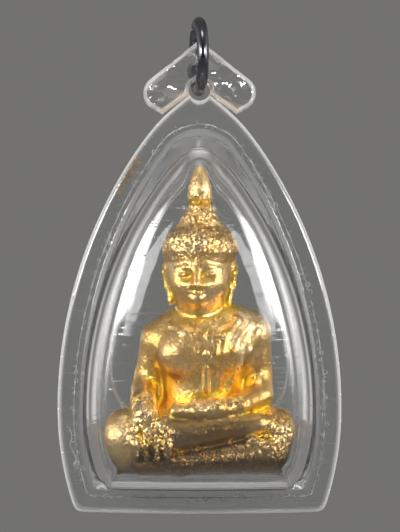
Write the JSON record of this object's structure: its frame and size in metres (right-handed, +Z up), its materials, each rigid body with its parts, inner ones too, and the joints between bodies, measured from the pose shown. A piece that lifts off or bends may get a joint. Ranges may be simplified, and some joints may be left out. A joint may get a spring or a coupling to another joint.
{
  "type": "amulet pendant",
  "caption": "Gilded seated Buddha figure sealed in a clear pointed acrylic case, with a clear chevron hanger and an open steel ring that the case swings on.",
  "frame": {"origin": "inner top of the steel ring, where a chain or cord sits", "axes": "+Z up along the hanging line, +X to the viewer's right, the figure faces -Y"},
  "size_m": [0.0308, 0.0189, 0.0541],
  "materials": {
    "ring_steel": "polished steel wire, slightly darkened",
    "clear_acrylic": "polished clear acrylic with small bubbles in the bonded seam",
    "gold_leaf": "crinkled gold leaf over a cast figure, amber in the recesses"
  },
  "bodies": {
    "ring": {"jump_ring": "ring_steel"},
    "case": {"hanger": "clear_acrylic", "front_shell": "clear_acrylic", "back_plate": "clear_acrylic", "buddha_figure": "gold_leaf"}
  },
  "joints": [
    {"name": "case_swing", "type": "hinge", "parent": "ring", "child": "case", "pos_m": [0, 0, -0.00675], "axis": [0, 1, 0], "range_deg": [-110, 110]}
  ]
}
